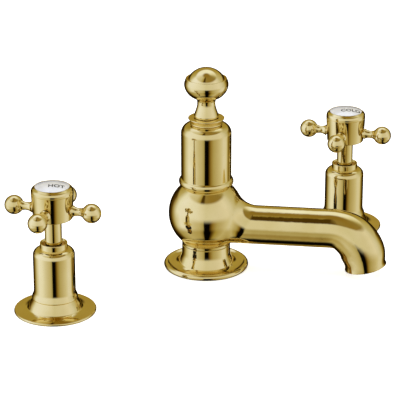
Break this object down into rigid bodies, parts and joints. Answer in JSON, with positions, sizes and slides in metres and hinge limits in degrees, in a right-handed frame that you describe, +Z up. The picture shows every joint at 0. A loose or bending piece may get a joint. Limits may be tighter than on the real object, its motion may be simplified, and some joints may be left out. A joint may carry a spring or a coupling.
{
  "type": "mixer faucet",
  "caption": "Three-piece deck-mounted basin mixer with a swivelling horizontal spout, a lift knob for the waste and hot and cold cross handles with white buttons.",
  "frame": {"origin": "on the spout's axis, on the top of the basin's deck", "axes": "+Z up, -Y towards the user, +X to the user's right; the hot valve is at -X and the cold valve at +X"},
  "size_m": [0.3064, 0.1215, 0.2654],
  "materials": {
    "gold_brass": "polished",
    "raw_brass": "machined",
    "stainless_steel": "satin",
    "black_rubber": "matt",
    "white_acetal": "smooth",
    "disc_ceramic": "lapped",
    "white_porcelain": "glazed"
  },
  "bodies": {
    "deck_body": {"spout_foot": "gold_brass", "foot_seal": "black_rubber", "thrust_ring": "white_acetal", "swivel_seals": "black_rubber", "swivel_clip": "stainless_steel", "spout_shank": "raw_brass", "spout_under_seal": "black_rubber", "spout_under_washer": "stainless_steel", "spout_backnut": "raw_brass", "inlet_tee": "raw_brass", "tee_seal": "black_rubber", "guide_tube": "raw_brass", "valve_deck_seals": "black_rubber", "valve_under_seals": "black_rubber", "valve_under_washers": "stainless_steel", "valve_backnuts": "raw_brass", "seat_rings": "black_rubber", "hot_escutcheon": "gold_brass", "hot_valve_body": "raw_brass", "hot_shroud": "gold_brass", "hot_gland_collar": "gold_brass", "hot_cartridge": "raw_brass", "hot_fixed_disc": "disc_ceramic", "cold_escutcheon": "gold_brass", "cold_valve_body": "raw_brass", "cold_shroud": "gold_brass", "cold_gland_collar": "gold_brass", "cold_cartridge": "raw_brass", "cold_fixed_disc": "disc_ceramic"},
    "spout": {"spout_body": "gold_brass", "swivel_washer": "white_acetal", "spout_bonnet": "gold_brass", "bonnet_gland": "gold_brass", "gland_seal": "black_rubber", "rod_bush": "white_acetal", "aerator_housing": "raw_brass", "aerator_insert": "white_acetal", "aerator_seal": "black_rubber"},
    "waste_knob": {"lift_knob": "gold_brass", "knob_cap": "gold_brass", "lift_rod": "stainless_steel"},
    "hot_handle": {"hot_spindle": "raw_brass", "hot_moving_disc": "disc_ceramic", "hot_spindle_seals": "black_rubber", "hot_spindle_clip": "stainless_steel", "hot_handle_hub": "gold_brass", "hot_handle_arms": "gold_brass", "hot_index_bezel": "gold_brass", "hot_index_button": "white_porcelain", "hot_handle_screw": "stainless_steel"},
    "cold_handle": {"cold_spindle": "raw_brass", "cold_moving_disc": "disc_ceramic", "cold_spindle_seals": "black_rubber", "cold_spindle_clip": "stainless_steel", "cold_handle_hub": "gold_brass", "cold_handle_arms": "gold_brass", "cold_index_bezel": "gold_brass", "cold_index_button": "white_porcelain", "cold_handle_screw": "stainless_steel"}
  },
  "joints": [
    {"name": "spout_swivel", "type": "hinge", "parent": "deck_body", "child": "spout", "pos_m": [0, 0, 0.017], "axis": [0, 0, 1], "range_deg": [-105, 15]},
    {"name": "waste_knob_lift", "type": "slide", "parent": "deck_body", "child": "waste_knob", "axis": [0, 0, 1], "range_m": [0, 0.028]},
    {"name": "hot_handle_turn", "type": "hinge", "parent": "deck_body", "child": "hot_handle", "pos_m": [-0.125, 0, 0.0715], "axis": [0, 0, 1], "range_deg": [0, 90]},
    {"name": "cold_handle_turn", "type": "hinge", "parent": "deck_body", "child": "cold_handle", "pos_m": [0.125, 0, 0.0715], "axis": [0, 0, 1], "range_deg": [-90, 0]}
  ]
}
